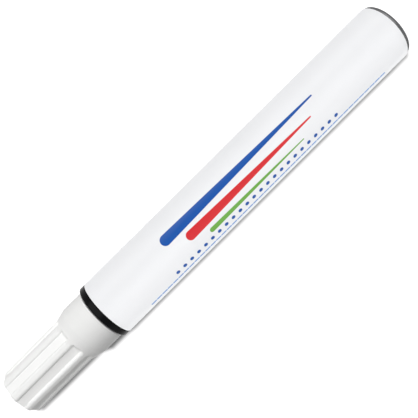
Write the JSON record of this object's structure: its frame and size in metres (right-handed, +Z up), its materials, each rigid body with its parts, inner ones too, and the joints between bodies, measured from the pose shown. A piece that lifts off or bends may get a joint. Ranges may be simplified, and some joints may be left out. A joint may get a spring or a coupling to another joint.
{
  "type": "adhesive remover pen",
  "caption": "Felt-tipped solvent pen with a round wrapped barrel, a black collar ring, a spring valve and a ribbed push-on cap.",
  "frame": {"origin": "centre of the bounding box's base, on the surface that the pen lies on", "axes": "+X along the pen from its cap to the barrel's closed end, +Z up as it lies"},
  "size_m": [0.14, 0.0174, 0.0175],
  "materials": {
    "bare_aluminium": "drawn, satin",
    "white_film": "smooth film, semi gloss",
    "black_plastic": "gloss",
    "seal_rubber": "matt",
    "natural_plastic": "semi matt",
    "felt": "dense fibre",
    "spring_steel": "drawn wire",
    "cap_plastic": "semi gloss, faintly translucent",
    "liner_plastic": "soft, semi matt"
  },
  "bodies": {
    "pen_body": {"barrel": "bare_aluminium", "label_wrap": "white_film", "front_collar": "black_plastic", "mouth_seal": "seal_rubber", "nib_holder": "natural_plastic", "valve_seal": "seal_rubber", "valve_cage": "natural_plastic", "valve_spring": "spring_steel"},
    "cap": {"cap_shell": "cap_plastic", "cap_liner": "liner_plastic"},
    "nib_body": {"nib": "felt"},
    "stem_body": {"valve_stem": "natural_plastic"}
  },
  "joints": [
    {"name": "cap_pull", "type": "slide", "parent": "pen_body", "child": "cap", "axis": [-1, 0, 0], "range_m": [0, 0.026]},
    {"name": "nib_press", "type": "slide", "parent": "pen_body", "child": "nib_body", "axis": [1, 0, 0], "range_m": [0, 0.002]},
    {"name": "valve_travel", "type": "slide", "parent": "pen_body", "child": "stem_body", "axis": [1, 0, 0], "range_m": [0, 0.002], "stiffness_N_per_m": 400, "deforming": ["valve_spring"]}
  ],
  "couplings": [
    {"joint": "valve_travel", "follows": "nib_press", "ratio": 1}
  ]
}
